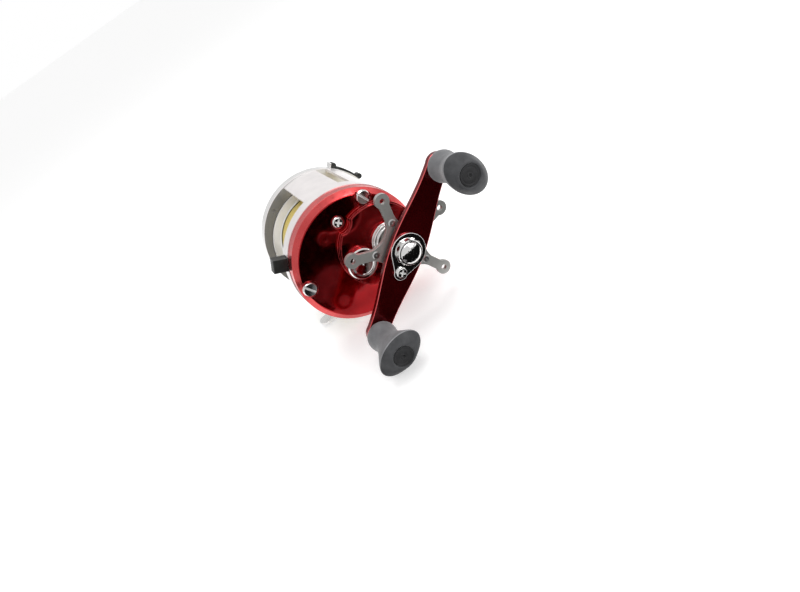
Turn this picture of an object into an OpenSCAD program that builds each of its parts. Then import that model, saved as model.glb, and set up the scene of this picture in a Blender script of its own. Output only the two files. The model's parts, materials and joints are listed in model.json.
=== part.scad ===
/* [Body] */

// Outside diameter of the gear side cover
cover_d = 60; // [58:1:62]
// Outside diameter of the frame rings and the palm plate
ring_d = 60.6; // [60:0.2:62]
// Width of the opening between the two frame rings
opening_w = 31; // [30:1:32]
// Height of the side plate centre above the foot seat
plate_z = 31; // [31:0.5:33]

/* [Spool] */

// Diameter of the spool flanges
flange_d = 51.4; // [48:0.2:51.4]
// Diameter of the line as wound on the spool
line_d = 43; // [24:1:46]

/* [Handle] */

// Distance between the two knob axes
handle_span = 74; // [66:1:82]
// Angle of the handle above the forward direction
handle_angle = 35.5; // [0:0.5:90]
// Widest part of a knob
knob_w = 21.6; // [18:0.2:24]

/* [Star drag] */

// Distance from the shaft to the middle of an arm tip
star_r = 22.8; // [21:0.2:24]
// Angle of the first arm above the forward direction
star_angle = 9.3; // [0:0.1:71]

/* [Foot] */

// Length of the foot along the rod
foot_l = 62; // [56:1:66]
// Width of the foot
foot_w = 12.5; // [12:0.5:13]

/* [Hidden] */

$fn = 64;
eps = 0.01;
gap = 0.03;

// Plate centre, spool axis, crank axis and worm axis as [forward, up]
plate_c = [0, plate_z];
spool_c = [-1.5, plate_z - 1.2];
crank_c = spool_c + [15.85, 0];
worm_c = spool_c + [29.5, -4.7];

ring_r = ring_d / 2;
cover_r = cover_d / 2;
half_w = opening_w / 2;

// Stations along the spool axis, from the palm side to the handle side
x_palm = -half_w - 9.5;
x_left_out = -half_w - 1.5;
x_left = -half_w;
x_right = half_w;
x_wall = half_w + 3;
wall_t = 1.5;
x_joint = half_w + 6.5;
x_face = x_joint + 7;
x_plateau = x_face + 3;
skin = 1.5;

spool_hole_r = flange_d / 2 + 0.3;
lobe_r = 5.8;
cog_r = 4.02;
worm_gear_r = 10.42;
worm_side = atan2(worm_c[1] - crank_c[1], worm_c[0] - crank_c[0]);
gear_r = 15.85 * 53 / 63;
pinion_r = 15.85 * 10 / 63;
x_gear = x_joint + 2.4;
gear_t = 2.5;
shaft_r = 3;
spindle_r = 1.5;

plateau_c = plate_c + [10.2, -0.7];
plateau_r = 19;
small_screw_c = plate_c + [0.8, 18.9];
x_pin = x_wall + 1.8;
pin_r = 0.5;
pin_l = 6.8;
cover_screw_r = 26;
cover_screw_angles = [52.6, 173.4, 293];
ring_screw_angles = [20, 120, 300];
ring_screw_r = ring_r - 2.2;

top_bar_a = [63.6, 97.3];
rear_bar_a = [205, 224];
front_bar_a = [312, 326];
bar_in_r = ring_r - 2.2;

hood_a = [40, 53.5];
button_a = 150.5;
button_w = 6;
button_r = 36.5;
button_travel = 2.4;

pad_a = [18, 44.6];
pad_r = ring_r + 1.05;
pad_x = [x_palm + 3, x_left_out - 1.3];

x_collar = x_plateau;
x_hub = x_plateau + 5.6;
x_star = 44.6;
star_t = 1.8;
x_arm = 48;
arm_t = 2.6;
x_arm_top = x_arm + arm_t;
x_knob = x_arm_top + 0.7;
knob_l = 24;
knob_r = knob_w / 2;
knob_flat = 7.2;
knob_side_r = 13;

function on_circle(c, r, a) = [c[0] + r * cos(a), c[1] + r * sin(a)];

// Draws a flat outline of [forward, up] and extends it along the spool axis
module along(x0, x1)
  translate([x0, 0, 0])
    rotate([90, 0, 90])
      linear_extrude(height = x1 - x0)
        children();

// Round bar or disc along the spool axis
module disc(x0, x1, c, r)
  translate([x0, c[0], c[1]])
    rotate([0, 90, 0])
      cylinder(h = x1 - x0, r = r);

// Turned shape whose profile is listed as [radius, station]
module turned(c, profile)
  translate([0, c[0], c[1]])
    rotate([0, 90, 0])
      rotate_extrude()
        polygon(profile);

module ring(x0, x1, c, r_out, r_in)
  turned(c, [[r_in, x0], [r_out, x0], [r_out, x1], [r_in, x1]]);

module sector(c, r, a0, a1)
  translate(c)
    polygon(concat([[0, 0]], [for (i = [0:4]) let (a = a0 + (a1 - a0) * i / 4)
      [r * cos(a), r * sin(a)]]));

// Curved strip of the ring between two angles
module arc_strip(r_out, r_in, a)
  intersection() {
    difference() {
      translate(plate_c) circle(r = r_out);
      translate(plate_c) circle(r = r_in);
    }
    sector(plate_c, r_out * 1.2, a[0], a[1]);
  }

module lobe(r) {
  a = atan2(worm_c[1] - plate_c[1], worm_c[0] - plate_c[0]);
  d = norm(worm_c - plate_c);
  translate(worm_c) circle(r = r);
  translate(plate_c)
    rotate(a)
      translate([d - 12, -r]) square([12, 2 * r]);
}

module ring_outline() {
  translate(plate_c) circle(r = ring_r);
  lobe(lobe_r);
}

module slotted_screw(c, x_seat, head_r, head_t, shank_r, shank_l, slot_a) {
  slot_w = head_r * 0.3;
  difference() {
    turned(c, [[0, x_seat], [head_r, x_seat], [head_r, x_seat + head_t * 0.6],
      [head_r - 0.4, x_seat + head_t], [0, x_seat + head_t]]);
    translate([x_seat + head_t * 0.45, c[0], c[1]])
      rotate([slot_a, 0, 0])
        translate([0, -head_r * 1.2, -slot_w / 2]) cube([head_t, head_r * 2.4, slot_w]);
  }
  disc(x_seat - shank_l, x_seat + eps, c, shank_r);
}

module cross_screw(c, x_seat, head_r, head_t, shank_r, shank_l) {
  slot_w = head_r * 0.28;
  slot_l = head_r * 1.2;
  difference() {
    turned(c, [[0, x_seat], [head_r, x_seat], [head_r, x_seat + head_t * 0.5],
      [head_r * 0.8, x_seat + head_t], [0, x_seat + head_t]]);
    for (a = [45, 135])
      translate([x_seat + head_t * 0.4, c[0], c[1]])
        rotate([a, 0, 0])
          translate([0, -slot_l / 2, -slot_w / 2]) cube([head_t, slot_l, slot_w]);
  }
  disc(x_seat - shank_l, x_seat + eps, c, shank_r);
}

// Straight-sided gear outline
module gear_outline(teeth, pitch_r, tip, root) {
  step = 360 / teeth;
  polygon([for (i = [0:teeth - 1], k = [0:3])
    let (a = (i + [-0.34, -0.12, 0.12, 0.34][k]) * step,
         r = pitch_r + (k == 0 || k == 3 ? -root : tip))
    [r * cos(a), r * sin(a)]]);
}

module gear(x0, x1, c, teeth, pitch_r, tip, root, phase)
  along(x0, x1)
    translate(c)
      rotate(phase)
        gear_outline(teeth, pitch_r, tip, root);

/* Frame */

// Bar that points outwards from the plate centre, in the direction of the clutch button
module radial_bar(x0, x1, r0, r1, w)
  translate([x0, plate_c[0], plate_c[1]])
    rotate([button_a, 0, 0])
      translate([0, r0, -w / 2]) cube([x1 - x0, r1 - r0, w]);

module frame() {
  color("silver") {
    difference() {
      along(x_left_out, x_left) ring_outline();
      disc(x_left_out - 1, x_left + 1, spool_c, spool_hole_r);
      disc(x_left_out - 1, x_left + 1, worm_c, 3);
      for (a = ring_screw_angles)
        disc(x_left_out - 1, x_left + 1, on_circle(plate_c, ring_screw_r, a), 0.8);
    }
    difference() {
      along(x_right, x_joint) ring_outline();
      disc(x_right - 1, x_wall, spool_c, spool_hole_r);
      disc(x_wall + wall_t, x_joint + 1, plate_c, ring_r - 2.6);
      disc(x_wall + wall_t, x_joint + 1, worm_c, lobe_r - 1);
      disc(x_wall - 1, x_joint, spool_c, 5);
      disc(x_wall - 1, x_joint, crank_c, 4);
      disc(x_right - 1, x_joint, worm_c, 3);
      radial_bar(x_right + 0.8, x_joint + eps, ring_r - button_travel - 0.4, button_r, button_w + 0.6);
      for (a = cover_screw_angles)
        disc(x_joint - 3, x_joint + 1, on_circle(plate_c, ring_r - 1.5, a), 0.8);
    }
    along(x_left - eps, x_right + eps) {
      arc_strip(ring_r - 0.3, bar_in_r, top_bar_a);
      arc_strip(ring_r - 0.3, bar_in_r, rear_bar_a);
      arc_strip(ring_r - 0.3, bar_in_r, front_bar_a);
      arc_strip(ring_r - 0.1, ring_r - 1.2, hood_a);
    }
    difference() {
      translate([x_left - eps, -9, 1.4]) cube([opening_w + 2 * eps, 18, 1.9]);
      for (y = [-6, 6], x = [-2.5, 2.5])
        translate([x, y, 0]) cylinder(h = 5, r = 1);
    }
  }
}

// Black pad on the front rim of the palm plate, thicker at both ends
module rim_pad()
  color("black")
    along(pad_x[0], pad_x[1]) {
      arc_strip(pad_r, ring_r + eps, pad_a);
      translate(on_circle(plate_c, ring_r + 1.3, pad_a[1])) circle(r = 1.27);
      translate(on_circle(plate_c, ring_r + 1.4, pad_a[0])) circle(r = 1.35);
    }

module rim_pad_clip()
  color("silver")
    along(pad_x[0] - 0.2, pad_x[1] + 0.2)
      arc_strip(ring_r + 2.3, ring_r + eps, [pad_a[1] + 2.5, pad_a[1] + 3.9]);

module foot() {
  e = foot_w / 2;
  end_r = 4;
  tang = foot_l / 2 - end_r;
  color("gainsboro")
    difference() {
      intersection() {
        union() {
          translate([0, 0, -2])
            linear_extrude(height = 6)
              polygon([for (s = [-1, 1], p = [[-e, 12], [0.1 - end_r, tang], [end_r - 0.1, tang],
                [e, 12]]) -s * p]);
          for (s = [-1, 1]) translate([0, s * tang, -2]) cylinder(h = 6, r = end_r);
        }
        translate([0, foot_l / 2, 0])
          rotate([90, 0, 0])
            linear_extrude(height = foot_l)
              polygon([[-3, 0], [3, 0], [e, -0.9], [e, 0.4], [3, 1.4], [-3, 1.4],
                [-e, 0.4], [-e, -0.9]]);
      }
      for (y = [-6, 6], x = [-2.5, 2.5]) {
        translate([x, y, -1]) cylinder(h = 4, r = 1);
        translate([x, y, -eps]) cylinder(h = 0.6, r1 = 1.7, r2 = 1);
      }
    }
}

module foot_rivets()
  color("silver")
    for (y = [-6, 6], x = [-2.5, 2.5])
      translate([x, y, 0]) {
        cylinder(h = 3.6, r = 1);
        cylinder(h = 0.59, r1 = 1.68, r2 = 1);
        translate([0, 0, 3.3]) cylinder(h = 0.5, r = 1.5);
      }

/* Side plates */

module palm_plate() {
  r = ring_r;
  x = x_palm;
  color("silver") {
    difference() {
      turned(plate_c, [[0, x], [r - 5, x], [r - 2.6, x + 0.5], [r - 1, x + 1.7],
        [r, x + 3.8], [r, x_left_out], [0, x_left_out]]);
      turned(plate_c, [[0, x + 1.6], [r - 5.4, x + 1.6], [r - 4, x + 3],
        [r - 4, x_left_out + 1], [0, x_left_out + 1]]);
      disc(x - 1, x + 2, spool_c, 4);
      for (a = ring_screw_angles) {
        disc(x - 1, x_left_out + 1, on_circle(plate_c, ring_screw_r, a), 0.8);
        disc(x - 1, x + 3, on_circle(plate_c, ring_screw_r, a), 1.8);
      }
    }
    ring(x + 1.5, x + 4.6, spool_c, 6.5, 5);
  }
}

module palm_screws()
  color("silver")
    for (a = ring_screw_angles)
      mirror([1, 0, 0])
        slotted_screw(on_circle(plate_c, ring_screw_r, a), -x_palm - 3, 1.6, 1.2, 0.78, 6, 20);

module plateau_outline(inset)
  difference() {
    intersection() {
      translate(plateau_c) circle(r = plateau_r - inset);
      translate(plate_c) circle(r = cover_r - 0.2 - inset);
    }
    translate(small_screw_c) circle(r = 4.7 + inset);
  }

module gear_cover() {
  c = plate_c;
  r = cover_r;
  color("darkred")
    difference() {
      union() {
        turned(c, [[0, x_joint], [r, x_joint], [r, x_face - 2], [r - 2.3, x_face - 0.2],
          [r - 2.9, x_face], [0, x_face]]);
        along(x_joint, x_face - 2) lobe(lobe_r);
        along(x_face - 2, x_plateau - 0.9) plateau_outline(0);
        along(x_plateau - 0.9, x_plateau) plateau_outline(0.7);
        disc(x_face, x_plateau + 1.2, spool_c, 6.2);
      }
      turned(c, [[0, x_joint - 1], [r - 1.4, x_joint - 1], [r - 1.4, x_face - 2],
        [r - 2.6, x_face - skin], [0, x_face - skin]]);
      along(x_joint - 1, x_face - 3.6) lobe(lobe_r - 1);
      along(x_joint - 1, x_plateau - skin) plateau_outline(1.6);
      disc(x_joint, x_plateau + 1, crank_c, 7.8);
      disc(x_face - 2, x_plateau + 2, spool_c, 4);
      for (a = cover_screw_angles) {
        disc(x_joint - 1, x_face + 1, on_circle(c, cover_screw_r, a), 1.2);
        disc(x_face - 0.7, x_face + 1, on_circle(c, cover_screw_r, a), 3.9);
      }
      disc(x_face - 2, x_face + 1, small_screw_c, 1);
      disc(x_face - 0.5, x_face + 1, small_screw_c, 2.9);
    }
}

module cover_screws()
  color("silver")
    for (i = [0:2]) {
      c = on_circle(plate_c, cover_screw_r, cover_screw_angles[i]);
      slotted_screw(c, x_face - 0.7, 3.2, 1.9, 1.15, 3, -66 + 4 * i);
    }

module cover_small_screw()
  color("silver")
    cross_screw(small_screw_c, x_face - 0.5, 2.5, 1.5, 0.95, 2);

/* Spool */

module spool() {
  r = flange_d / 2;
  a = half_w;
  rim = 22.3;
  color("lightgray")
    turned(spool_c, [[2, -12], [4, -12], [4, -9.2], [8.4, -9.2], [8.4, -a + 0.6],
      [rim, -a - 0.2], [r, -a - 0.9], [r, -a + 0.3], [rim, -a + 0.9], [rim - 0.5, -a + 1.5],
      [9.6, -a + 1.5], [9.6, a - 1.5], [rim - 0.5, a - 1.5], [rim, a - 0.9], [r, a - 0.3],
      [r, a + 0.9], [rim, a + 0.2], [8.4, a - 0.6], [8.4, 9.2], [4, 9.2], [4, 12], [2, 12],
      [2, 8], [8.4, 8], [8.4, -8], [2, -8]]);
}

module pin_bar(r)
  translate([x_pin + 0.45, spool_c[0], spool_c[1] - pin_l / 2])
    cylinder(h = pin_l, r = r);

module spool_shaft()
  color("silver")
    difference() {
      turned(spool_c, [[0, x_palm + 2], [1.5, x_palm + 2], [1.5, x_left_out], [1.98, x_left_out],
        [1.98, x_wall + 1.2], [1.5, x_wall + 1.4], [1.5, x_plateau - 0.6], [0, x_plateau - 0.6]]);
      pin_bar(pin_r + eps);
    }

module clutch_pin()
  color("silver")
    pin_bar(pin_r);

module wound_line()
  color("gold")
    ring(-half_w + 1.55, half_w - 1.55, spool_c, line_d / 2, 9.63);

module bearing(x0, x1, r_out, r_in) {
  r_mid = (r_out + r_in) / 2;
  ring(x0, x1, spool_c, r_out, r_mid + 0.35);
  ring(x0, x1, spool_c, r_mid - 0.35, r_in);
  ring(x0 + 0.4, x1 - 0.4, spool_c, r_mid + 0.35, r_mid - 0.35);
}

module spool_bearing_left()
  color("silver")
    bearing(x_palm + 2.1, x_palm + 4.6, 5, 1.5 + gap);

module spool_bearing_right()
  color("silver")
    bearing(x_face + 1, x_face + 2.5, 4, 1.5 + gap);

module magnet_holder()
  color("dimgray")
    turned(spool_c, [[6.7, x_palm + 2], [16, x_palm + 2], [16, x_palm + 3.6], [14.8, x_palm + 3.6],
      [14.8, x_palm + 3], [6.7, x_palm + 3]]);

module magnets()
  color("silver")
    for (i = [0:9]) {
      c = on_circle(spool_c, 12.4, i * 36);
      disc(x_palm + 3, x_palm + 4.6, c, 1.9);
    }

module brake_drum()
  color("gray")
    turned(spool_c, [[2, x_left_out + 0.2], [5, x_left_out + 0.2], [5, x_left_out + 0.8],
      [15, x_left_out - 0.4], [15, x_left_out - 2.2], [16, x_left_out - 2.2],
      [16, x_left_out + 0.2], [5, x_left_out + 1.6], [5, -12], [4, -12], [2, -12]]);

module brake_dial() {
  c = spool_c;
  color("silver") {
    difference() {
      turned(c, [[0, x_palm - 2], [8, x_palm - 2], [9, x_palm - 1.2], [9, x_palm - 0.2],
        [0, x_palm - 0.2]]);
      for (i = [0:23])
        disc(x_palm - 3, x_palm, on_circle(c, 9.3, i * 15), 0.6);
    }
    disc(x_palm - 0.3, x_palm + 1.4, c, 3.95);
  }
}

module tension_knob() {
  c = spool_c;
  color("silver")
    difference() {
      turned(c, [[6.3, x_plateau + 0.2], [6.8, x_plateau + 0.2], [7, x_plateau + 0.5],
        [7, x_plateau + 2.4], [6.5, x_plateau + 3], [5.4, x_plateau + 3],
        [5.2, x_plateau + 2.6], [4.4, x_plateau + 2.8], [0, x_plateau + 3.1],
        [0, x_plateau + 1.3], [6.3, x_plateau + 1.3]]);
      for (i = [0:35])
        disc(x_plateau - 1, x_plateau + 2.2, on_circle(c, 7.15, i * 10), 0.3);
    }
}

module tension_washers() {
  color("orange") {
    disc(x_plateau - 0.4, x_plateau + 0.1, spool_c, 3.6);
    ring(x_plateau + 0.1, x_plateau + 0.7, spool_c, 3.6, 2);
  }
}

/* Clutch */

module pinion() {
  x = x_pin;
  color("goldenrod")
    difference() {
      union() {
        disc(x - 0.1, x + 1.4, spool_c, 4);
        disc(x + 1.3, x + 2.3, spool_c, 2.4);
        disc(x + 2.2, x + 2.7, spool_c, 3.6);
        gear(x + 2.6, x + 7, spool_c, 10, pinion_r, 0.45, 0.55, 18);
      }
      disc(x - 1, x + 9, spool_c, spindle_r + gap);
      translate([x - 1, spool_c[0] - 0.6, spool_c[1] - 5]) cube([2, 1.2, 10]);
    }
}

yoke_x0 = x_pin + 1.45;
yoke_t = 0.7;
post_dz = 9;

module yoke()
  color("silver")
    difference() {
      along(yoke_x0, yoke_x0 + yoke_t)
        translate(spool_c) {
          circle(r = 4.7);
          translate([-1.8, -post_dz]) square([3.6, 2 * post_dz]);
          for (s = [-1, 1]) translate([0, s * post_dz]) circle(r = 2);
        }
      disc(yoke_x0 - 1, yoke_x0 + 2, spool_c, 2.4 + 0.08);
      for (s = [-1, 1])
        disc(yoke_x0 - 1, yoke_x0 + 2, spool_c + [0, s * post_dz], 0.9 + 0.05);
      translate([yoke_x0 - 1, spool_c[0] - 8, spool_c[1] - 2.48]) cube([3, 8, 4.96]);
    }

module yoke_posts()
  color("silver")
    for (s = [-1, 1]) {
      disc(x_wall + wall_t, x_pin + 7, spool_c + [0, s * post_dz], 0.9);
      disc(x_pin + 6.4, x_pin + 7, spool_c + [0, s * post_dz], 1.9);
    }

module yoke_springs()
  color("gray")
    for (s = [-1, 1], i = [0:3]) {
      x = x_pin + 4.4 + i * 0.5;
      ring(x, x + 0.35, spool_c + [0, s * post_dz], 1.6, 1);
    }

module clutch_button()
  color("black")
    difference() {
      radial_bar(x_right + 1.1, x_joint - 0.3, ring_r - 0.1, button_r, button_w);
      for (z = [-2:1:2])
        translate([x_right, plate_c[0], plate_c[1]])
          rotate([button_a, 0, 0])
            translate([0, button_r - 0.3, z - 0.2]) cube([8, 1, 0.4]);
    }

x_cam = x_wall + wall_t + 0.3;
lever_c = spool_c + [-8, -16];

// Plate on the button that lifts the pinion and pushes the tail of the kick lever
module clutch_cam()
  color("gray") {
    radial_bar(x_cam, x_cam + 0.8, 13, ring_r - 0.1, 4);
    translate([x_cam, lever_c[0] - 7.8, lever_c[1] + 0.6]) cube([0.8, 1.4, 26]);
  }

module kick_lever()
  color("silver")
    difference() {
      along(x_cam, x_cam + 0.9)
        translate(lever_c)
          rotate(8) {
            circle(r = 2.2);
            translate([-8, -1.2]) square([23, 2.4]);
            translate([13, -1.2]) square([2, 4]);
          }
      disc(x_cam - 1, x_cam + 2, lever_c, 1 + 0.05);
    }

pawl_c = crank_c + [9.6, -9];

module lever_pivots()
  color("silver") {
    disc(x_wall + wall_t, x_wall + wall_t + 1.6, lever_c, 1);
    disc(x_wall + wall_t + 1.5, x_wall + wall_t + 1.9, lever_c, 1.7);
    disc(x_wall + wall_t, x_joint + 2, pawl_c, 1);
  }

/* Drive */

module drive_shaft() {
  c = crank_c;
  color("silver")
    difference() {
      turned(c, [[0, x_wall], [2, x_wall], [2, x_wall + wall_t + 0.3], [5, x_wall + wall_t + 0.3],
        [5, x_wall + wall_t + 0.8], [shaft_r, x_wall + wall_t + 0.8], [shaft_r, x_arm_top + 3],
        [shaft_r - 0.4, x_arm_top + 3.4], [0, x_arm_top + 3.4]]);
      for (s = [0, 1])
        translate([x_joint + 5.4, c[0], c[1]])
          rotate([s * 180 + handle_angle, 0, 0])
            translate([0, -5, 2.4]) cube([x_arm_top - x_joint - 5.4 + eps, 10, 3]);
    }
}

module shaft_bushing()
  color("goldenrod")
    ring(x_wall, x_wall + wall_t, crank_c, 4, 2 + gap);

module worm_drive_gear()
  color("white")
    difference() {
      gear(x_joint - 1.2, x_joint, crank_c, 52, worm_gear_r, 0.36, 0.45, worm_side);
      disc(x_joint - 2, x_joint + 1, crank_c, shaft_r);
    }

module ratchet() {
  n = 12;
  x = x_joint + 0.3;
  color("silver")
    difference() {
      along(x, x + 1)
        translate(crank_c)
          polygon([for (i = [0:n - 1], k = [0:1]) let (a = (i + k * 0.75) * 360 / n,
            r = k == 0 ? 9.2 : 7.6) [r * cos(a), r * sin(a)]]);
      disc(x - 1, x + 2, crank_c, shaft_r);
    }
}

module ratchet_pawl() {
  x = x_joint + 0.3;
  color("gray")
    difference() {
      along(x, x + 1)
        translate(pawl_c) {
          circle(r = 2);
          rotate(118) translate([0, -1.1]) square([3.4, 2.2]);
        }
      disc(x - 1, x + 2, pawl_c, 1 + 0.05);
    }
}

module drive_gear()
  color("goldenrod")
    difference() {
      gear(x_gear, x_gear + gear_t, crank_c, 53, gear_r, 0.45, 0.55, 180);
      disc(x_gear - 1, x_gear + gear_t + 1, crank_c, shaft_r + gap);
      disc(x_gear + 1.4, x_gear + gear_t + 1, crank_c, 10.6);
    }

washer_t = 0.5;
x_stack = x_gear + 1.4;

module fibre_washers()
  color("black") {
    ring(x_joint + 1.4, x_gear, crank_c, 8, shaft_r + 0.05);
    for (i = [0:2]) {
      x = x_stack + i * 2 * washer_t;
      ring(x, x + washer_t, crank_c, 10.2, shaft_r + 0.15);
    }
  }

module steel_washers()
  color("silver")
    for (i = [0:2]) {
      x = x_stack + (2 * i + 1) * washer_t;
      ring(x, x + washer_t, crank_c, 10.2, shaft_r + 0.02);
    }

x_sleeve = x_stack + 6 * washer_t;

module clutch_sleeve()
  color("silver")
    ring(x_sleeve, x_hub - 0.6, crank_c, 5, shaft_r + 0.02);

module roller_clutch()
  color("gray") {
    x = x_sleeve + 0.6;
    ring(x, x_collar + 1.4, crank_c, 7.8, 6.6);
    ring(x, x + 0.5, crank_c, 6.6, 5.03);
    ring(x_collar + 0.9, x_collar + 1.4, crank_c, 6.6, 5.03);
    for (i = [0:7])
      disc(x + 0.5, x_collar + 0.9, on_circle(crank_c, 5.85, i * 45), 0.78);
  }

module crank_collar() {
  x = x_collar;
  color("silver")
    turned(crank_c, [[7.85, x], [8.55, x], [8.55, x + 1], [8.3, x + 1.3], [8, x + 1.3],
      [8, x + 2.1], [7.6, x + 2.5], [7, x + 2.5], [7, x + 3.1], [6.6, x + 3.5], [5.2, x + 3.5],
      [5.2, x + 1.6], [7.85, x + 1.6]]);
}

module spring_washers()
  color("silver") {
    ring(x_hub - 0.6, x_hub - 0.1, crank_c, 5.6, shaft_r + 0.05);
    ring(x_hub - 0.1, x_hub + 0.3, crank_c, 5, shaft_r + 0.05);
  }

module star_outline() {
  scoop_c = 19.5;
  scoop_r = 9.4;
  difference() {
    circle(r = 17.5);
    for (i = [0:4])
      rotate(36 + i * 72) translate([scoop_c, 0]) circle(r = scoop_r);
  }
  for (i = [0:4])
    rotate(i * 72) {
      translate([16, -2.15]) square([star_r - 16, 4.3]);
      translate([star_r, 0]) circle(r = 3.2);
    }
}

module star_drag() {
  x = x_star;
  c = crank_c;
  color("silver")
    difference() {
      union() {
        along(x, x + star_t)
          translate(c)
            rotate(star_angle) star_outline();
        turned(c, [[0, x_hub + 0.6], [6, x_hub + 0.6], [6.4, x_hub + 1], [6.4, x - 0.8],
          [8, x + eps], [0, x + eps]]);
        disc(x + star_t - eps, x + star_t + 0.5, c, 6.6);
      }
      disc(x_hub - 1, x + 5, c, shaft_r + gap);
      for (i = [0:4]) {
        disc(x - 1, x + 3, on_circle(c, star_r, star_angle + i * 72), 1.2);
        disc(x - 1, x + 3, on_circle(c, 12.5, star_angle + i * 72), 0.9);
      }
    }
}

module star_rivets()
  color("silver")
    for (i = [0:4]) {
      a = star_angle + i * 72;
      c = on_circle(crank_c, 12.5, a);
      disc(x_star - 0.5, x_star + star_t, c, 0.9);
      turned(c, [[0, x_star + star_t], [1.7, x_star + star_t], [1.3, x_star + star_t + 0.5],
        [0, x_star + star_t + 0.6]]);
    }

/* Handle */

arm_mid = 8.2;
arm_end = 4.9;
half_span = handle_span / 2;

function arm_w(t) = arm_end + (arm_mid - arm_end) * (1 + cos(180 * min(1, t * 1.08))) / 2;

module arm_outline() {
  n = 16;
  upper = [for (i = [-n:n]) [half_span * i / n, arm_w(abs(i) / n)]];
  lower = [for (i = [n:-1:-n]) [half_span * i / n, -arm_w(abs(i) / n)]];
  polygon(concat(upper, lower));
}

function knob_at(s) = on_circle(crank_c, s * half_span, handle_angle);

module handle_arm()
  color("darkred")
    difference() {
      union() {
        along(x_arm, x_arm_top)
          translate(crank_c)
            rotate(handle_angle) arm_outline();
        for (s = [-1, 1]) disc(x_arm, x_arm_top, knob_at(s), arm_end + 0.15);
      }
      intersection() {
        disc(x_arm - 1, x_arm_top + 1, crank_c, shaft_r);
        translate([x_arm - 1, crank_c[0], crank_c[1]])
          rotate([handle_angle, 0, 0])
            translate([0, -5, -2.4]) cube([arm_t + 2, 10, 4.8]);
      }
      for (s = [-1, 1])
        disc(x_arm - 1, x_arm_top + 1, knob_at(s), 1.8);
      disc(x_arm_top - 1.6, x_arm_top + 1, on_circle(crank_c, -9.2, handle_angle), 0.8);
    }

module handle_nut() {
  x = x_arm_top;
  c = crank_c;
  color("silver")
    difference() {
      union() {
        along(x, x + 2.2)
          translate(c)
            rotate(handle_angle) circle(r = 5.9, $fn = 6);
        turned(c, [[0, x + 2.1], [5.4, x + 2.1], [5.5, x + 2.6], [5.1, x + 3.1], [4.6, x + 3.1],
          [4.4, x + 3.6], [3.2, x + 4.3], [1.6, x + 4.7], [0, x + 4.8]]);
      }
      disc(x - 1, x + 3.5, c, shaft_r);
    }
}

module nut_retainer() {
  x = x_arm_top;
  c = crank_c;
  color("silver")
    difference() {
      along(x, x + 1)
        translate(c)
          rotate(handle_angle) {
            circle(r = 7.9);
            polygon([[-3.6, 7], [-10, 2.9], [-10, -2.9], [-3.6, -7]]);
            translate([-9.6, 0]) circle(r = 3.1);
          }
      along(x - 1, x + 2)
        translate(c)
          rotate(handle_angle)
            for (a = [0, 30]) rotate(a) circle(r = 6, $fn = 6);
      disc(x - 1, x + 2, on_circle(c, -9.2, handle_angle), 0.85);
    }
}

module retainer_screw()
  color("silver")
    cross_screw(on_circle(crank_c, -9.2, handle_angle), x_arm_top + 1, 2.4, 1.2, 0.78, 2.4);

module knob_spindles()
  color("silver")
    for (s = [-1, 1]) {
      c = knob_at(s);
      turned(c, [[0, x_arm - 0.8], [2.8, x_arm - 0.8], [2.8, x_arm], [1.8, x_arm],
        [1.8, x_knob + 16], [0, x_knob + 16]]);
      disc(x_arm_top, x_arm_top + 0.4, c, 3.2);
    }

// Grip with a round inner end, a waist, and a wide oval outer end turned by angle a
module knob_body(c, a) {
  x = x_knob;
  r = knob_r;
  difference() {
    intersection() {
      turned(c, [[0, x], [4.8, x], [6, x + 0.7], [6.6, x + 2.4], [6.6, x + 4.6],
        [6, x + 7], [5.8, x + 9.5], [6.2, x + 12], [7.6, x + 15], [9.6, x + 18.2],
        [r, x + 20.3], [r, x + 20.7], [r - 1.2, x + 22], [r - 3.4, x + 23.2],
        [5.2, x + knob_l], [0, x + knob_l]]);
      along(x - 1, x + knob_l + 1)
        translate(c)
          rotate(a)
            intersection() {
              translate([0, knob_flat - knob_side_r]) circle(r = knob_side_r);
              translate([0, knob_side_r - knob_flat]) circle(r = knob_side_r);
            }
    }
    disc(x - 1, x + 16.4, c, 1.8 + gap);
    disc(x + knob_l - 1.4, x + knob_l + 1, c, 4.4);
  }
}

module knob_front()
  color("dimgray")
    knob_body(knob_at(1), -64);

module knob_rear()
  color("dimgray")
    knob_body(knob_at(-1), 16);

module knob_cap(c)
  difference() {
    disc(x_knob + knob_l - 1.4, x_knob + knob_l - 0.5, c, 4.38);
    disc(x_knob + knob_l - 1.1, x_knob + knob_l, c, 0.7);
  }

module knob_cap_front()
  color("black")
    knob_cap(knob_at(1));

module knob_cap_rear()
  color("black")
    knob_cap(knob_at(-1));

/* Line guide drive */

worm_r = 2.2;
guide_x = 5;

module worm_shaft() {
  c = worm_c;
  color("silver")
    difference() {
      turned(c, [[0, x_left_out + 0.4], [1.5, x_left_out + 0.4], [1.5, x_left + 0.4],
        [worm_r, x_left + 0.4], [worm_r, x_right - 0.4], [1.5, x_right - 0.4],
        [1.5, x_joint + 0.8], [0, x_joint + 0.8]]);
      for (i = [-6:6])
        ring(2.1 * i - 0.4, 2.1 * i + 0.4, c, worm_r + 1, worm_r - 0.6);
    }
}

module worm_bushings()
  color("white") {
    ring(x_left_out, x_left, worm_c, 3, 1.5 + gap);
    ring(x_right, x_wall + wall_t, worm_c, 3, 1.5 + gap);
  }

module worm_cog()
  color("white")
    difference() {
      gear(x_joint - 1.2, x_joint, worm_c, 20, cog_r, 0.34, 0.45, worm_side + 189);
      disc(x_joint - 2, x_joint + 1, worm_c, 1.5);
    }

module worm_tube()
  color("silver")
    difference() {
      ring(x_left, x_right, worm_c, 3.4, 2.5);
      translate([x_left + 2.5, worm_c[0] - 1.2, worm_c[1] - 5]) cube([opening_w - 5, 2.4, 5]);
    }

guide_w = 7;
guide_eye = [1.2, 6.4];

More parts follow.
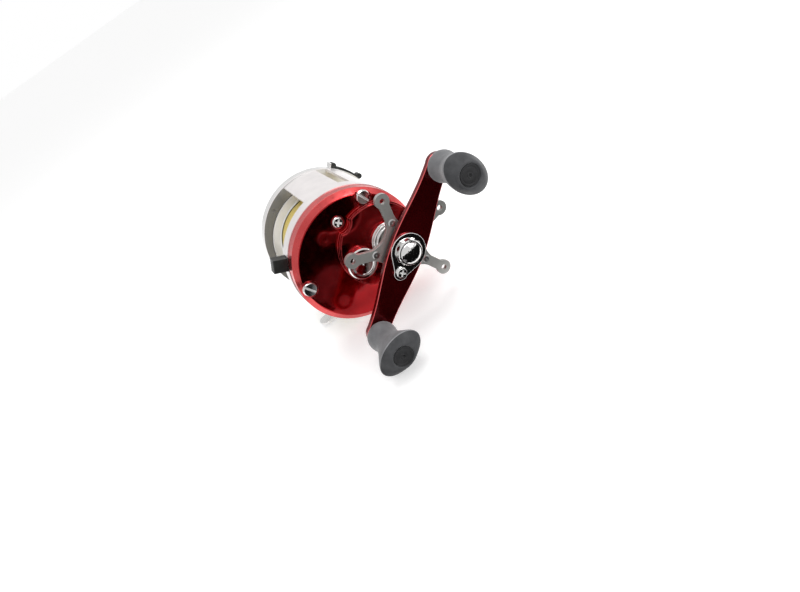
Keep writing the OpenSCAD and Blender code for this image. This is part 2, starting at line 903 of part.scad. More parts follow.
module line_guide() {
  x0 = guide_x - guide_w / 2;
  x1 = guide_x + guide_w / 2;
  c = worm_c;
  eye = c + guide_eye;
  color("silver")
    difference() {
      union() {
        disc(x0, x1, c, 4.6);
        along(x0 + 1.2, x1 - 1.2)
          translate([c[0] - 0.8, c[1] + 3]) square([4, 3]);
        translate([guide_x, eye[0], eye[1]])
          rotate([90, 0, 0])
            translate([0, 0, -2]) cylinder(h = 4, r = 3.6);
        translate([guide_x, c[0], c[1] - 6.2]) cylinder(h = 3, r = 2.4);
      }
      disc(x0 - 1, x1 + 1, c, 3.4 + 0.08);
      translate([guide_x, eye[0], eye[1]])
        rotate([90, 0, 0])
          translate([0, 0, -3]) cylinder(h = 6, r = 2.6);
      translate([guide_x, c[0], c[1] - 7]) cylinder(h = 5, r = 1.3);
    }
}

module guide_ring() {
  eye = worm_c + guide_eye;
  color("white")
    translate([guide_x, eye[0], eye[1]])
      rotate([90, 0, 0])
        rotate_extrude()
          polygon([[2, -1.4], [2.6, -2], [2.6, 2], [2, 1.4], [1.8, 0]]);
}

module worm_pawl()
  color("goldenrod")
    translate([guide_x, worm_c[0], worm_c[1] - 6.8]) {
      translate([0, 0, 0.6]) cylinder(h = 3.6, r = 1.05);
      cylinder(h = 0.6, r = 2.2);
    }

frame();
foot();
foot_rivets();
palm_plate();
palm_screws();
gear_cover();
cover_screws();
cover_small_screw();
rim_pad_clip();
rim_pad();
spool();
spool_shaft();
clutch_pin();
wound_line();
spool_bearing_left();
spool_bearing_right();
magnet_holder();
magnets();
brake_drum();
brake_dial();
tension_knob();
tension_washers();
pinion();
yoke();
yoke_posts();
yoke_springs();
clutch_button();
clutch_cam();
kick_lever();
lever_pivots();
drive_shaft();
shaft_bushing();
worm_drive_gear();
ratchet();
ratchet_pawl();
drive_gear();
fibre_washers();
steel_washers();
roller_clutch();
clutch_sleeve();
crank_collar();
spring_washers();
star_drag();
star_rivets();
handle_arm();
handle_nut();
nut_retainer();
retainer_screw();
knob_spindles();
knob_front();
knob_rear();
knob_cap_front();
knob_cap_rear();
worm_shaft();
worm_bushings();
worm_cog();
worm_tube();
line_guide();
guide_ring();
worm_pawl();
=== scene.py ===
import json
import math

import bpy
from mathutils import Matrix, Vector

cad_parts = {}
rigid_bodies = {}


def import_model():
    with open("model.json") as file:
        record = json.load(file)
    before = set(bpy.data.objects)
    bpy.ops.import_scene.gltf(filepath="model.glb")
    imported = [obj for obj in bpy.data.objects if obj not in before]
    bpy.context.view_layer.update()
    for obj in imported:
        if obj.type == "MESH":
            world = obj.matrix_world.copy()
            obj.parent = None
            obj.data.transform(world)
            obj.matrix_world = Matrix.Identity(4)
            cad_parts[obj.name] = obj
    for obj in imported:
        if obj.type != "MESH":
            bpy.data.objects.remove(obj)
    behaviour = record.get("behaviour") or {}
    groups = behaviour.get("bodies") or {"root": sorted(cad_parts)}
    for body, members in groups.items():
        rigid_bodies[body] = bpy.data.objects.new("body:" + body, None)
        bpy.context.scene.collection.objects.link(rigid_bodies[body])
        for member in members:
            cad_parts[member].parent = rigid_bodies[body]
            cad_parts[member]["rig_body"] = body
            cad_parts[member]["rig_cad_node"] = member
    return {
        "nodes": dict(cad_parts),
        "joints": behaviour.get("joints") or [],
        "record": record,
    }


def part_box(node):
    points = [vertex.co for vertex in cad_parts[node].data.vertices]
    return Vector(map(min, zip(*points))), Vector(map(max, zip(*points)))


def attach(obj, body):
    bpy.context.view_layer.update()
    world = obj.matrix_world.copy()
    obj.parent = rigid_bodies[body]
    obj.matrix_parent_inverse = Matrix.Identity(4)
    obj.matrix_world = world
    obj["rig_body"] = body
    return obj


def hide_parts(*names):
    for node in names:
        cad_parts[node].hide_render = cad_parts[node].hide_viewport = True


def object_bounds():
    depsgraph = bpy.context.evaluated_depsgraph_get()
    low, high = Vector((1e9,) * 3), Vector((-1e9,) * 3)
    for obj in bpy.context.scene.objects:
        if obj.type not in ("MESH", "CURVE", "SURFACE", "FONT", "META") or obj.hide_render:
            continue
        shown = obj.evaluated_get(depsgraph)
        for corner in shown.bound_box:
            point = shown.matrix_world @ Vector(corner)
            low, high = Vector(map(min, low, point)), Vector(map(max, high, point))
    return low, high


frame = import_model()
nodes = frame["nodes"]
bounds_at_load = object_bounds()
print("frame holds", len(nodes), "parts")

# %% [markdown]
# Sizes are easier to think of in millimetres, while Blender works in metres.
# The axes of the moving parts are read from the joints, so that every new piece is centred on
# the part it dresses.
# %% Units and axes
MM = 0.001
FULL_TURN = 2 * math.pi
FRONT_LEAN = math.radians(-64)
REAR_LEAN = math.radians(16)

joint_place = {j["name"]: Vector(j["pos_m"]) for j in frame["joints"] if "pos_m" in j}
spool_axis = joint_place["spool_spin"]
crank_axis = joint_place["crank"]
front_knob_axis = joint_place["front_knob_spin"]
rear_knob_axis = joint_place["rear_knob_spin"]

ring_low, ring_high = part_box("palm_plate")
plate_axis = (ring_low + ring_high) / 2
bodies = frame["record"]["behaviour"]["bodies"]
body_of_node = {node: body for body, members in bodies.items() for node in members}
slot_of_node = {part["node"]: part["material_slot"] for part in frame["record"]["subparts"]}
print("plate axis at", [round(v / MM, 1) for v in plate_axis], "mm")

# %% [markdown]
# Every finish starts from the same small recipe: one shader, a cloudy change in its roughness,
# and a fine bump, all read from Object coordinates so that they stay still on the piece.
# The helpers below add one node each, which keeps the recipes short enough to read.
# %% Small helpers for finishes


def new_finish(name):
    finish = bpy.data.materials.new(name)
    finish.use_nodes = True
    tree = finish.node_tree
    tree.nodes.clear()
    output = tree.nodes.new("ShaderNodeOutputMaterial")
    shader = tree.nodes.new("ShaderNodeBsdfPrincipled")
    tree.links.new(shader.outputs["BSDF"], output.inputs["Surface"])
    return finish, tree, shader


def placed_coordinates(tree, centre=(0, 0, 0), stretch=(1, 1, 1)):
    place = tree.nodes.new("ShaderNodeTexCoord")
    mapping = tree.nodes.new("ShaderNodeMapping")
    mapping.vector_type = "TEXTURE"
    mapping.inputs["Location"].default_value = centre
    mapping.inputs["Scale"].default_value = stretch
    tree.links.new(place.outputs["Object"], mapping.inputs["Vector"])
    return mapping.outputs["Vector"]


def cloud(tree, vector, size, detail=3.0):
    noise = tree.nodes.new("ShaderNodeTexNoise")
    noise.inputs["Scale"].default_value = 1 / size
    noise.inputs["Detail"].default_value = detail
    tree.links.new(vector, noise.inputs["Vector"])
    return noise.outputs["Fac"]


def spread(tree, value, low, high, start=0.3, end=0.7):
    remap = tree.nodes.new("ShaderNodeMapRange")
    remap.inputs["From Min"].default_value = start
    remap.inputs["From Max"].default_value = end
    remap.inputs["To Min"].default_value = low
    remap.inputs["To Max"].default_value = high
    tree.links.new(value, remap.inputs["Value"])
    return remap.outputs["Result"]


def two_tones(tree, value, dark, light, start=0.3, end=0.7):
    ramp = tree.nodes.new("ShaderNodeValToRGB")
    ramp.color_ramp.elements[0].position = start
    ramp.color_ramp.elements[0].color = (*dark, 1)
    ramp.color_ramp.elements[1].position = end
    ramp.color_ramp.elements[1].color = (*light, 1)
    tree.links.new(value, ramp.inputs["Fac"])
    return ramp.outputs["Color"]


def raise_grain(tree, shader, height, depth, strength=1.0):
    bump = tree.nodes.new("ShaderNodeBump")
    bump.inputs["Strength"].default_value = strength
    bump.inputs["Distance"].default_value = depth
    tree.links.new(height, bump.inputs["Height"])
    tree.links.new(bump.outputs["Normal"], shader.inputs["Normal"])


def lathe_marks(tree, vector, pitch):
    """Fine marks that run round the X axis: they change along the axis and with the radius only."""
    parts = tree.nodes.new("ShaderNodeSeparateXYZ")
    across = tree.nodes.new("ShaderNodeCombineXYZ")
    radius = tree.nodes.new("ShaderNodeVectorMath")
    radius.operation = "LENGTH"
    marks = tree.nodes.new("ShaderNodeCombineXYZ")
    tree.links.new(vector, parts.inputs["Vector"])
    tree.links.new(parts.outputs["Y"], across.inputs["Y"])
    tree.links.new(parts.outputs["Z"], across.inputs["Z"])
    tree.links.new(across.outputs["Vector"], radius.inputs[0])
    tree.links.new(parts.outputs["X"], marks.inputs["X"])
    tree.links.new(radius.outputs["Value"], marks.inputs["Y"])
    return cloud(tree, marks.outputs["Vector"], pitch, 4)


# %% [markdown]
# Metal parts differ in three things: their tint, how polished they are, and how the tool marks
# run. Turned parts carry fine rings about their axis, so their bump comes from a ring pattern
# centred there. Flat pressed parts carry long scratches, made by stretching a cloud one way.
# %% Metals
SCRATCH_SIZE = 0.12 * MM
SCRATCH_DEPTH = 0.006 * MM
MARK_PITCH = 0.3 * MM
MARK_DEPTH = 0.0015 * MM


def turned_metal(name, tint, roughness, centre, pitch=MARK_PITCH, depth=MARK_DEPTH, shade=0.92, metallic=1.0):
    finish, tree, shader = new_finish(name)
    shader.inputs["Metallic"].default_value = metallic
    vector = placed_coordinates(tree, centre)
    patches = cloud(tree, vector, 6 * MM)
    darker = tuple(c * shade for c in tint)
    tree.links.new(two_tones(tree, patches, darker, tint), shader.inputs["Base Color"])
    marks = lathe_marks(tree, vector, pitch)
    tree.links.new(spread(tree, marks, roughness * 0.8, roughness * 1.3), shader.inputs["Roughness"])
    raise_grain(tree, shader, marks, depth)
    return finish


def brushed_metal(name, tint, roughness, stretch, shade=0.88, metallic=1.0):
    finish, tree, shader = new_finish(name)
    shader.inputs["Metallic"].default_value = metallic
    vector = placed_coordinates(tree)
    patches = cloud(tree, vector, 5 * MM)
    darker = tuple(c * shade for c in tint)
    tree.links.new(two_tones(tree, patches, darker, tint), shader.inputs["Base Color"])
    scratches = cloud(tree, placed_coordinates(tree, stretch=stretch), SCRATCH_SIZE, 4)
    tree.links.new(spread(tree, scratches, roughness * 0.8, roughness * 1.3), shader.inputs["Roughness"])
    raise_grain(tree, shader, scratches, SCRATCH_DEPTH)
    return finish


def anodised(name, tint, deep, roughness, metallic=1.0):
    finish, tree, shader = new_finish(name)
    shader.inputs["Metallic"].default_value = metallic
    shader.inputs["Coat Weight"].default_value = 0.35
    shader.inputs["Coat Roughness"].default_value = 0.05
    vector = placed_coordinates(tree)
    patches = cloud(tree, vector, 9 * MM)
    tree.links.new(two_tones(tree, patches, deep, tint), shader.inputs["Base Color"])
    smears = cloud(tree, vector, 2.2 * MM, 5)
    tree.links.new(spread(tree, smears, roughness * 0.7, roughness * 1.4), shader.inputs["Roughness"])
    raise_grain(tree, shader, cloud(tree, vector, 0.25 * MM, 2), 0.002 * MM)
    return finish


WARM_SILVER = (0.92, 0.88, 0.875)
PALE_SILVER = (0.88, 0.875, 0.865)
# Pale silver for the rounds and the screw slots: a painted highlight.
EDGE_HIGHLIGHT_SILVER = (0.95, 0.945, 0.94)
# Flange colours: the white is a painted highlight on the rims, the olive is painted shade in the inner walls.
FLANGE_HIGHLIGHT_WHITE = (0.93, 0.93, 0.93)
FLANGE_SHADE_OLIVE = (0.16, 0.16, 0.12)
STAR_GREY = (0.44, 0.44, 0.42)
STEEL = (0.62, 0.62, 0.61)
BRASS = (0.76, 0.57, 0.27)
RED = (0.46, 0.008, 0.012)
DEEP_RED = (0.30, 0.004, 0.007)

HANDLE_RED = (0.21, 0.004, 0.008)
DEEP_HANDLE_RED = (0.15, 0.003, 0.005)
# Lighter reds for the rounds of the red parts: a painted highlight.
EDGE_HIGHLIGHT_RED = (0.86, 0.16, 0.16)
DEEP_EDGE_HIGHLIGHT_RED = (0.78, 0.10, 0.11)
# Lighter red for the rim of the red cover: a painted highlight.
RIM_HIGHLIGHT_RED = (0.74, 0.10, 0.10)
DEEP_RIM_HIGHLIGHT_RED = (0.6, 0.06, 0.062)
EVEN = (1, 1, 1)
LENGTHWISE = (6, 1, 1)
COARSE_PITCH = 0.8 * MM
FAINT_DEPTH = 0.0004 * MM

finishes = {
    "frame_silver": turned_metal("finish_frame_silver", WARM_SILVER, 0.32, plate_axis, metallic=0.65),
    "plate_silver": turned_metal(
        "finish_plate_silver", PALE_SILVER, 0.28, plate_axis, pitch=0.4 * MM, metallic=0.8
    ),
    "anodised_red": anodised("finish_anodised_red", RED, DEEP_RED, 0.14),
    "handle_red": anodised("finish_handle_red", HANDLE_RED, DEEP_HANDLE_RED, 0.16, metallic=0.9),
    "chrome": turned_metal(
        "finish_chrome", PALE_SILVER, 0.1, crank_axis, pitch=COARSE_PITCH, depth=FAINT_DEPTH, shade=0.96
    ),
    "steel": brushed_metal("finish_steel", STEEL, 0.28, LENGTHWISE),
    "star_satin": brushed_metal("finish_star_satin", STAR_GREY, 0.36, EVEN, metallic=0.7),
    "spool_silver": turned_metal(
        "finish_spool_silver", PALE_SILVER, 0.16, spool_axis, pitch=0.25 * MM, depth=0.001 * MM, shade=0.95
    ),
    "brass": turned_metal("finish_brass", BRASS, 0.25, spool_axis),
}
# Lighter finishes for the rounds: painted highlights on the edges.
pale_edge_highlight = brushed_metal("finish_polished_edge", EDGE_HIGHLIGHT_SILVER, 0.3, EVEN, shade=0.97, metallic=0.3)
red_edge_highlight = anodised("finish_red_edge", EDGE_HIGHLIGHT_RED, DEEP_EDGE_HIGHLIGHT_RED, 0.32)
# The finish of the cover's rim is a painted highlight.
red_rim_highlight = anodised("finish_red_rim", RIM_HIGHLIGHT_RED, DEEP_RIM_HIGHLIGHT_RED, 0.3)
# Flange finishes: a painted highlight on the rims and painted shade in the inner walls.
flange_rim_highlight = turned_metal("finish_flange_bright", FLANGE_HIGHLIGHT_WHITE, 0.22, spool_axis, metallic=0.35)
flange_wall_shade = turned_metal("finish_flange_dark", FLANGE_SHADE_OLIVE, 0.3, spool_axis)
print("metals:", ", ".join(finishes))

# %% [markdown]
# The clutch button and the rim pad are hard black plastic with a faint moulded grain.
# The grips are a soft grey rubber: matt, slightly blotchy where hands have polished it, and
# covered in a fine bump that breaks up its highlights.
# %% Plastics, rubber and the rest


def moulded(name, dark, light, roughness, grain=0.2 * MM, depth=0.01 * MM):
    finish, tree, shader = new_finish(name)
    vector = placed_coordinates(tree)
    patches = cloud(tree, vector, 4 * MM)
    tree.links.new(two_tones(tree, patches, dark, light), shader.inputs["Base Color"])
    smears = cloud(tree, vector, 1.5 * MM)
    tree.links.new(spread(tree, smears, roughness * 0.85, roughness * 1.15), shader.inputs["Roughness"])
    raise_grain(tree, shader, cloud(tree, vector, grain, 3), depth)
    return finish


def soft_rubber(name, dark, light, roughness):
    finish = moulded(name, dark, light, roughness, 0.16 * MM, 0.03 * MM)
    shader = finish.node_tree.nodes["Principled BSDF"]
    shader.inputs["Sheen Weight"].default_value = 0.25
    shader.inputs["Sheen Roughness"].default_value = 0.4
    shader.inputs["Specular IOR Level"].default_value = 0.35
    return finish


# name of the record's slot: recipe, dark tone, light tone, roughness, and the grain where it differs
PLASTICS = {
    "black_plastic": (moulded, (0.012, 0.013, 0.012), (0.022, 0.024, 0.022), 0.33),
    "soft_grey": (soft_rubber, (0.12, 0.121, 0.127), (0.165, 0.167, 0.174), 0.62),
    "cap_black": (soft_rubber, (0.014, 0.014, 0.015), (0.024, 0.024, 0.026), 0.6),
    "nylon": (moulded, (0.72, 0.71, 0.67), (0.8, 0.79, 0.75), 0.35),
    "fibre": (moulded, (0.03, 0.03, 0.032), (0.06, 0.06, 0.062), 0.55, 0.1 * MM),
    "ceramic": (moulded, (0.05, 0.05, 0.055), (0.07, 0.07, 0.075), 0.15, 1 * MM, 0.001 * MM),
}
for slot, (recipe, *settings) in PLASTICS.items():
    finishes[slot] = recipe("finish_" + slot, *settings)
rubber_end = soft_rubber("finish_rubber_end", (0.035, 0.036, 0.039), (0.06, 0.061, 0.065), 0.6)
rubber_rim_band = soft_rubber("finish_rubber_worn", (0.19, 0.19, 0.2), (0.26, 0.26, 0.27), 0.5)

LINE_RADIUS = (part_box("wound_line")[1].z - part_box("wound_line")[0].z) / 2
TURN_DEPTH = 0.14 * MM
SHADED_LINE = (0.16, 0.11, 0.02)
LIT_LINE = (0.92, 0.72, 0.20)


def fishing_line(name):
    finish, tree, shader = new_finish(name)
    vector = placed_coordinates(tree, spool_axis)
    parts = tree.nodes.new("ShaderNodeSeparateXYZ")
    across = tree.nodes.new("ShaderNodeCombineXYZ")
    radius = tree.nodes.new("ShaderNodeVectorMath")
    radius.operation = "LENGTH"
    tree.links.new(vector, parts.inputs["Vector"])
    tree.links.new(parts.outputs["Y"], across.inputs["Y"])
    tree.links.new(parts.outputs["Z"], across.inputs["Z"])
    tree.links.new(across.outputs["Vector"], radius.inputs[0])
    valley = LINE_RADIUS - TURN_DEPTH
    crest = LINE_RADIUS - 0.3 * TURN_DEPTH
    height = spread(tree, radius.outputs["Value"], 0, 1, valley, crest)
    tree.links.new(two_tones(tree, height, SHADED_LINE, LIT_LINE, 0, 1), shader.inputs["Base Color"])
    shader.inputs["Roughness"].default_value = 0.3
    shader.inputs["Coat Weight"].default_value = 0.4
    shader.inputs["Coat Roughness"].default_value = 0.15
    return finish


finishes["line_yellow"] = fishing_line("finish_line_yellow")
for node, slot in slot_of_node.items():
    nodes[node].data.materials.clear()
    nodes[node].data.materials.append(finishes[slot])
print("finishes:", len(finishes))

# %% [markdown]
# A machined part never has a knife edge: a small round along each edge catches the light and is
# what makes metal look solid. The frame's parts have sharp edges, so a visible part is copied,
# its loose triangles are merged into whole faces, and a Bevel modifier rounds what is sharp.
# The copy stands for the part, which stays as it was. On some parts the rounds get a lighter finish, which is
# a painted highlight.
# %% Helper that rounds the edges of a part


def edit(piece):
    bpy.ops.object.select_all(action="DESELECT")
    piece.select_set(True)
    bpy.context.view_layer.objects.active = piece
    bpy.ops.object.mode_set(mode="EDIT")
    bpy.ops.mesh.select_all(action="SELECT")


def leave_edit():
    bpy.ops.object.mode_set(mode="OBJECT")


def apply_modifiers(piece):
    bpy.ops.object.select_all(action="DESELECT")
    piece.select_set(True)
    bpy.context.view_layer.objects.active = piece
    for modifier in list(piece.modifiers):
        bpy.ops.object.modifier_apply(modifier=modifier.name)


def smooth(piece, angle):
    bpy.ops.object.select_all(action="DESELECT")
    piece.select_set(True)
    bpy.context.view_layer.objects.active = piece
    bpy.ops.object.shade_smooth_by_angle(angle=angle)


def stand_for(piece, node):
    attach(piece, body_of_node[node])
    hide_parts(node)


def tinted(piece, second, chosen):
    """Give the faces that chosen() picks a second finish."""
    piece.data.materials.append(second)
    index = len(piece.data.materials) - 1
    for polygon in piece.data.polygons:
        if chosen(polygon):
            polygon.material_index = index


WELD = 0.002 * MM
FLAT = math.radians(0.6)
SHARP = math.radians(28)
SMOOTH_BELOW = math.radians(40)


def rounded_copy(node, name, width, edge_highlight_finish=None):
    piece = nodes[node].copy()
    piece.data = nodes[node].data.copy()
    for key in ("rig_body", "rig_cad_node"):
        if key in piece:
            del piece[key]
    piece.parent = None
    piece.name = name
    piece.data.name = name
    bpy.context.scene.collection.objects.link(piece)
    edit(piece)
    bpy.ops.mesh.remove_doubles(threshold=WELD)
    bpy.ops.mesh.dissolve_limited(angle_limit=FLAT)
    leave_edit()
    bevel = piece.modifiers.new("edge_round", "BEVEL")
    bevel.width = width
    bevel.segments = 3
    bevel.limit_method = "ANGLE"
    bevel.angle_limit = SHARP
    bevel.use_clamp_overlap = True
    bevel.harden_normals = False
    # The rounds get the lighter finish: a painted highlight.
    if edge_highlight_finish:
        piece.data.materials.append(edge_highlight_finish)
        bevel.material = 1
    weighted = piece.modifiers.new("flat_faces", "WEIGHTED_NORMAL")
    weighted.keep_sharp = True
    smooth(piece, SMOOTH_BELOW)
    apply_modifiers(piece)
    stand_for(piece, node)
    return piece


# %% Round the edges of the metal parts
EDGE = {
    "gear_cover": 0.35 * MM,
    "frame": 0.2 * MM,
    "palm_plate": 0.25 * MM,
    "star_drag": 0.45 * MM,
    "handle_arm": 0.3 * MM,
    "nut_retainer": 0.25 * MM,
    "handle_nut": 0.2 * MM,
    "cover_screws": 0.15 * MM,
    "cover_small_screw": 0.12 * MM,
    "retainer_screw": 0.12 * MM,
    "palm_screws": 0.1 * MM,
    "foot": 0.2 * MM,
    "rim_pad": 0.3 * MM,
    "clutch_button": 0.3 * MM,
    "rim_pad_clip": 0.15 * MM,
    "crank_collar": 0.15 * MM,
    "spool": 0.15 * MM,
}
# Lighter finishes painted on the rounds of these parts: painted highlights.
EDGE_HIGHLIGHT_FINISH = {
    "gear_cover": red_edge_highlight,
    "handle_arm": red_edge_highlight,
    "star_drag": pale_edge_highlight,
    "nut_retainer": pale_edge_highlight,
}
rounded = {}
for node, width in EDGE.items():
    rounded[node] = rounded_copy(node, node + "_rounded", width, EDGE_HIGHLIGHT_FINISH.get(node))
    print(rounded[node].name, len(rounded[node].data.polygons), "faces")

# %% [markdown]
# Some parts show two finishes, and these second finishes are painted light and shade. The rim of the red
# cover is painted lighter than its face as a painted highlight, a screw slot is painted brighter than the
# polished head round it as a painted highlight, the rims of the spool's flanges are painted bright as a
# painted highlight, and the inner walls of the flanges are painted darker as painted shade. The faces are
# picked by which way they look and how far they lie from the axis.
# %% Second finishes: painted highlights and painted shade


def away(polygon, axis):
    across = polygon.center - axis
    return math.hypot(across.y, across.z)


COVER_RIM = 27.5 * MM
FACING_X = 0.9
# Painted highlight: the rim faces of the red cover get the lighter red.
tinted(rounded["gear_cover"], red_rim_highlight, lambda p: away(p, plate_axis) > COVER_RIM and p.normal.x < 0.97)

# Painted highlight: the floors of the screw slots get the pale edge finish.
for node in ("cover_screws", "cover_small_screw", "retainer_screw"):
    slot_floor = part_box(node)[1].x - 0.3 * MM
    tinted(rounded[node], pale_edge_highlight, lambda p: p.normal.x > FACING_X and p.center.x < slot_floor)

spool_points = rounded["spool"].data.vertices


def reach(polygon, axis):
    return max(math.hypot(*(spool_points[i].co - axis).yz) for i in polygon.vertices)


FLANGE_STEP = 22.2 * MM
# Painted highlight on the flange rims, painted shade on the flanges' inner walls.
tinted(rounded["spool"], flange_rim_highlight, lambda p: reach(p, spool_axis) > FLANGE_STEP)
tinted(rounded["spool"], flange_wall_shade, lambda p: abs(p.normal.x) > 0.5 and reach(p, spool_axis) < FLANGE_STEP)

# %% [markdown]
# The wall of the left ring is seen past the spool. It is matt, with light and shade painted on it: painted
# shade makes it grey at the rear and painted light makes it pale towards the front, so its tone fades with Y.
# The tips of the palm screws in the wall get the same painted finish.
# %% Ring wall with painted light and shade
# Painted shade at the rear of the ring wall, painted light towards the front.
WALL_SHADE_GREY = (0.2, 0.2, 0.2)
WALL_LIGHT_PALE = (0.8, 0.8, 0.79)
WALL_X = -15.5 * MM
wall_painted_finish, wall_tree, wall_shader = new_finish("finish_ring_wall_painted_light")
wall_shader.inputs["Metallic"].default_value = 0.2
wall_shader.inputs["Roughness"].default_value = 0.5
wall_parts = wall_tree.nodes.new("ShaderNodeSeparateXYZ")
wall_tree.links.new(placed_coordinates(wall_tree), wall_parts.inputs["Vector"])
wall_light_fade = spread(wall_tree, wall_parts.outputs["Y"], 0, 1, -8 * MM, 8 * MM)
wall_painted_tones = two_tones(wall_tree, wall_light_fade, WALL_SHADE_GREY, WALL_LIGHT_PALE, 0, 1)
wall_tree.links.new(wall_painted_tones, wall_shader.inputs["Base Color"])
wall_grain = cloud(wall_tree, placed_coordinates(wall_tree), 0.2 * MM)
raise_grain(wall_tree, wall_shader, wall_grain, 0.004 * MM)
# Painted light and shade on the wall faces of the frame.
tinted(rounded["frame"], wall_painted_finish, lambda p: p.normal.x > FACING_X and p.center.x < WALL_X + 0.5 * MM)
# The palm screw tips in the wall get the same painted light and shade.
tinted(rounded["palm_screws"], wall_painted_finish, lambda p: p.center.x > WALL_X - 2 * MM)
print("second finishes on", sum(len(piece.data.materials) > 1 for piece in rounded.values()), "pieces")

# %% [markdown]
# The line lies on the spool in turns, side by side. One row of small arches is drawn by
# extruding a single vertex along the axis, and the row is then spun round the spool.
# %% Wound line
TURNS = 44
ARCH_STEPS = 4
line_low, line_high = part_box("wound_line")
bpy.ops.object.select_all(action="DESELECT")
bpy.ops.mesh.primitive_plane_add(size=MM, location=(0, 0, 0))
line_wound = bpy.context.object
line_wound.name = "line_wound"
edit(line_wound)
bpy.ops.mesh.merge(type="CENTER")
bpy.ops.transform.translate(value=(line_low.x, spool_axis.y, spool_axis.z + LINE_RADIUS - TURN_DEPTH))
pitch = (line_high.x - line_low.x) / TURNS
last = 0.0
for step in range(1, TURNS * ARCH_STEPS + 1):
    height = TURN_DEPTH * math.sin(math.pi * (step % ARCH_STEPS) / ARCH_STEPS)
    bpy.ops.mesh.extrude_region_move(TRANSFORM_OT_translate={"value": (pitch / ARCH_STEPS, 0, height - last)})
    last = height
bpy.ops.mesh.select_all(action="SELECT")
bpy.ops.mesh.spin(steps=120, angle=FULL_TURN, center=spool_axis, axis=(1, 0, 0))
bpy.ops.mesh.select_all(action="SELECT")
bpy.ops.mesh.remove_doubles(threshold=0.001 * MM)
bpy.ops.mesh.normals_make_consistent(inside=False)
leave_edit()
smooth(line_wound, math.radians(70))
line_wound.data.materials.append(finishes["line_yellow"])
stand_for(line_wound, "wound_line")
print("line:", TURNS, "turns,", len(line_wound.data.polygons), "faces")

# %% [markdown]
# The grips are turned at their inner end and oval at their outer end. A circle is extruded along
# its axis one ring at a time; each new ring is resized, more along one side than the other.
# Subdivision then rounds the form, and two rings close together keep the outer edge crisp.
# %% Helper that builds a piece ring by ring
SIDES = 40
FACE_X = (0, math.pi / 2, 0)
LEVELS = 1


def lofted(name, rings, finish):
    """rings: (distance along X, half the long side, half the short side), all in millimetres."""
    bpy.ops.object.select_all(action="DESELECT")
    bpy.ops.mesh.primitive_circle_add(vertices=SIDES, radius=MM, location=(0, 0, 0), rotation=FACE_X)
    piece = bpy.context.object
    bpy.ops.object.transform_apply(location=False, rotation=True, scale=False)
    piece.name = name
    piece.data.name = name
    edit(piece)
    before = (0.0, 1.0, 1.0)
    for number, (along, long_half, short_half) in enumerate(rings):
        move = (along - before[0]) * MM
        grow = (1, long_half / before[1], short_half / before[2])
        if number == 0:
            bpy.ops.transform.translate(value=(move, 0, 0))
        else:
            bpy.ops.mesh.extrude_region_move(TRANSFORM_OT_translate={"value": (move, 0, 0)})
        bpy.ops.transform.resize(value=grow, center_override=(0, 0, 0))
        before = (along, long_half, short_half)
    bpy.ops.mesh.edge_face_add()
    bpy.ops.mesh.select_all(action="DESELECT")
    bpy.ops.mesh.select_mode(type="EDGE")
    bpy.ops.mesh.select_non_manifold()
    bpy.ops.mesh.edge_face_add()
    bpy.ops.mesh.select_all(action="SELECT")
    bpy.ops.mesh.normals_make_consistent(inside=False)
    leave_edit()
    rounder = piece.modifiers.new("rounder", "SUBSURF")
    rounder.levels = LEVELS
    rounder.render_levels = LEVELS
    apply_modifiers(piece)
    smooth(piece, SMOOTH_BELOW)
    piece.data.materials.append(finish)
    return piece


# %% Grips and their caps
GRIP = [(0, 4.4, 4.4), (0.15, 4.9, 4.9), (0.9, 6.1, 6.1), (2.6, 6.7, 6.7), (4.6, 6.6, 6.6), (7.2, 6.0, 5.9)]
GRIP += [(9.6, 5.9, 5.7), (12.0, 6.5, 5.9), (14.8, 7.9, 6.4), (17.6, 9.6, 7.0), (19.4, 10.6, 7.25)]
GRIP += [(20.1, 10.85, 7.35), (20.3, 10.85, 7.35), (20.55, 10.7, 7.2), (20.9, 10.3, 7.0), (22.2, 8.4, 6.3)]
GRIP += [(23.2, 6.3, 5.7), (23.6, 5.2, 5.15), (23.55, 4.75, 4.75), (23.3, 4.55, 4.55), (22.6, 4.5, 4.5)]
CAP = [(22.7, 4.3, 4.3), (23.25, 4.3, 4.3), (23.4, 4.15, 4.15), (23.4, 3.5, 3.5), (23.25, 3.4, 3.4)]
CAP += [(23.25, 3.2, 3.2), (23.4, 3.1, 3.1), (23.45, 1.5, 1.5), (23.3, 1.4, 1.4), (23.3, 1.2, 1.2)]
CAP += [(23.45, 1.1, 1.1), (23.4, 0.75, 0.75), (22.9, 0.65, 0.65), (22.75, 0.3, 0.3)]
GRIP_EDGE = 19.9 * MM
GRIP_FACE = 20.5 * MM
for end, axis, lean in (("front", front_knob_axis, FRONT_LEAN), ("rear", rear_knob_axis, REAR_LEAN)):
    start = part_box("knob_" + end)[0].x
    place = Matrix.Translation((start, axis.y, axis.z)) @ Matrix.Rotation(lean, 4, "X")
    grip = lofted("grip_" + end, GRIP, finishes["soft_grey"])
    stand_for(grip, "knob_" + end)
    # The band round the grip's outer rim is lighter and the end face darker.
    tinted(grip, rubber_rim_band, lambda p: p.center.x > GRIP_EDGE)
    tinted(grip, rubber_end, lambda p: p.center.x > GRIP_FACE)
    grip.data.transform(place)
    cap = lofted("grip_cap_" + end, CAP, finishes["cap_black"])
    stand_for(cap, "knob_cap_" + end)
    cap.data.transform(place)
    print(grip.name, len(grip.data.polygons), "faces,", cap.name, len(cap.data.polygons), "faces")

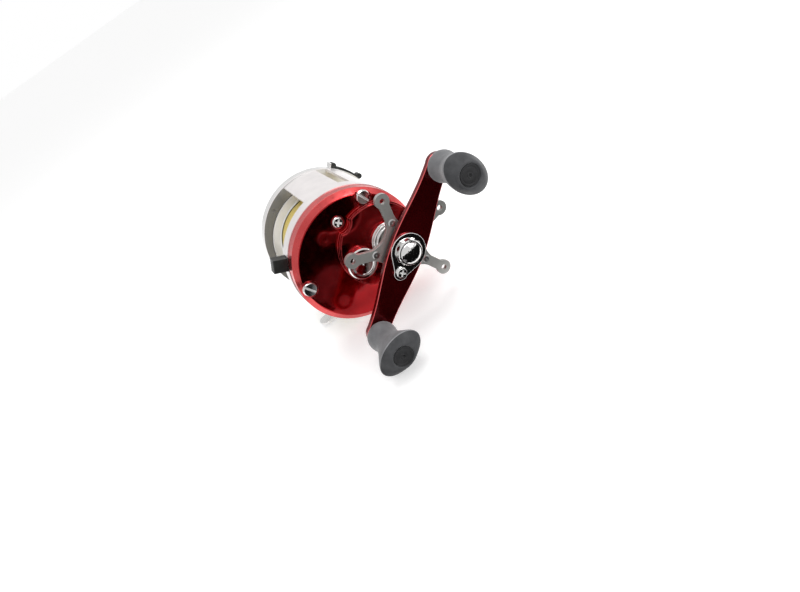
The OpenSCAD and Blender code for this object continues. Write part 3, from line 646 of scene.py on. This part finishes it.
# %% [markdown]
# The studio is a pale floor and soft lamps. The camera looks over the handle at the red cover,
# and is rolled so that the way forward climbs across the picture.
# %% Camera
CAMERA_PLACE = Vector((0.2771, -0.0357, 0.1601))
CAMERA_RIGHT = Vector((0.43486461, 0.75537559, -0.49049189))
CAMERA_UP = Vector((-0.33671843, 0.64149662, 0.68946838))
CAMERA_BACK = Vector((0.83545648, -0.13463583, 0.5331867))

camera_data = bpy.data.cameras.new("camera")
camera_data.lens = 29.0
camera_data.sensor_width = 36.0
camera_data.clip_start = 0.01
camera = bpy.data.objects.new("camera", camera_data)
print("camera lens", camera_data.lens, "mm")
turn = Matrix((CAMERA_RIGHT, CAMERA_UP, CAMERA_BACK)).transposed().to_4x4()
camera.matrix_world = Matrix.Translation(CAMERA_PLACE) @ turn
bpy.context.scene.collection.objects.link(camera)
bpy.context.scene.camera = camera

# %% Floor, lamps and world
FLOOR_DROP = 0.4 * MM
bpy.ops.object.select_all(action="DESELECT")
bpy.ops.mesh.primitive_plane_add(size=20, location=(0, 0, bounds_at_load[0].z - FLOOR_DROP))
floor = bpy.context.object
floor.name = "floor"
floor_finish, floor_tree, floor_shader = new_finish("finish_floor")
floor_shader.inputs["Base Color"].default_value = (0.9, 0.9, 0.9, 1)
floor_shader.inputs["Roughness"].default_value = 0.9
floor_shader.inputs["Emission Color"].default_value = (1, 1, 1, 1)
floor_shader.inputs["Emission Strength"].default_value = 0.3
floor.data.materials.append(floor_finish)


def soft_lamp(name, place, size, power, aim=plate_axis):
    lamp_data = bpy.data.lights.new(name, "AREA")
    lamp_data.shape = "RECTANGLE"
    lamp_data.size, lamp_data.size_y = size
    lamp_data.energy = power
    lamp = bpy.data.objects.new(name, lamp_data)
    lamp.location = place
    lamp.rotation_euler = (aim - Vector(place)).to_track_quat("-Z", "Y").to_euler()
    bpy.context.scene.collection.objects.link(lamp)
    return lamp


key = plate_axis + CAMERA_UP * 0.6 + CAMERA_BACK * 0.2 - CAMERA_RIGHT * 0.3
soft_lamp("key_lamp", key, (0.5, 0.5), 2.2)
fill = plate_axis + CAMERA_BACK * 0.55 + CAMERA_RIGHT * 0.4 + CAMERA_UP * 0.25
soft_lamp("fill_lamp", fill, (0.35, 0.35), 1.6)

world = bpy.data.worlds.new("studio")
bpy.context.scene.world = world
world.use_nodes = True
world.node_tree.nodes["Background"].inputs["Color"].default_value = (1, 1, 1, 1)
rays = world.node_tree.nodes.new("ShaderNodeLightPath")
WORLD_LIGHT = 0.72
WORLD_SEEN = 1.0
strength = spread(world.node_tree, rays.outputs["Is Camera Ray"], WORLD_LIGHT, WORLD_SEEN, 0, 1)
world.node_tree.links.new(strength, world.node_tree.nodes["Background"].inputs["Strength"])
bpy.context.scene.view_settings.view_transform = "Standard"

# %% [markdown]
# Polished metal shows what stands round it. A photographer darkens a bright face with a black
# card, called a flag, which only the reflections see.
# %% Flag
bpy.ops.object.select_all(action="DESELECT")
bpy.ops.mesh.primitive_plane_add(size=1, location=(0.313, 0.03, bounds_at_load[0].z - 0.2 * MM))
flag = bpy.context.object
flag.name = "flag"
flag.scale = (0.5, 0.7, 1)
flag.visible_camera = False
flag.visible_diffuse = False
flag.visible_shadow = False
flag.visible_transmission = False
flag_finish, flag_tree, flag_shader = new_finish("finish_flag")
flag_shader.inputs["Base Color"].default_value = (0.004, 0.004, 0.004, 1)
flag_shader.inputs["Roughness"].default_value = 1.0
flag_shader.inputs["Specular IOR Level"].default_value = 0.0
flag.data.materials.append(flag_finish)
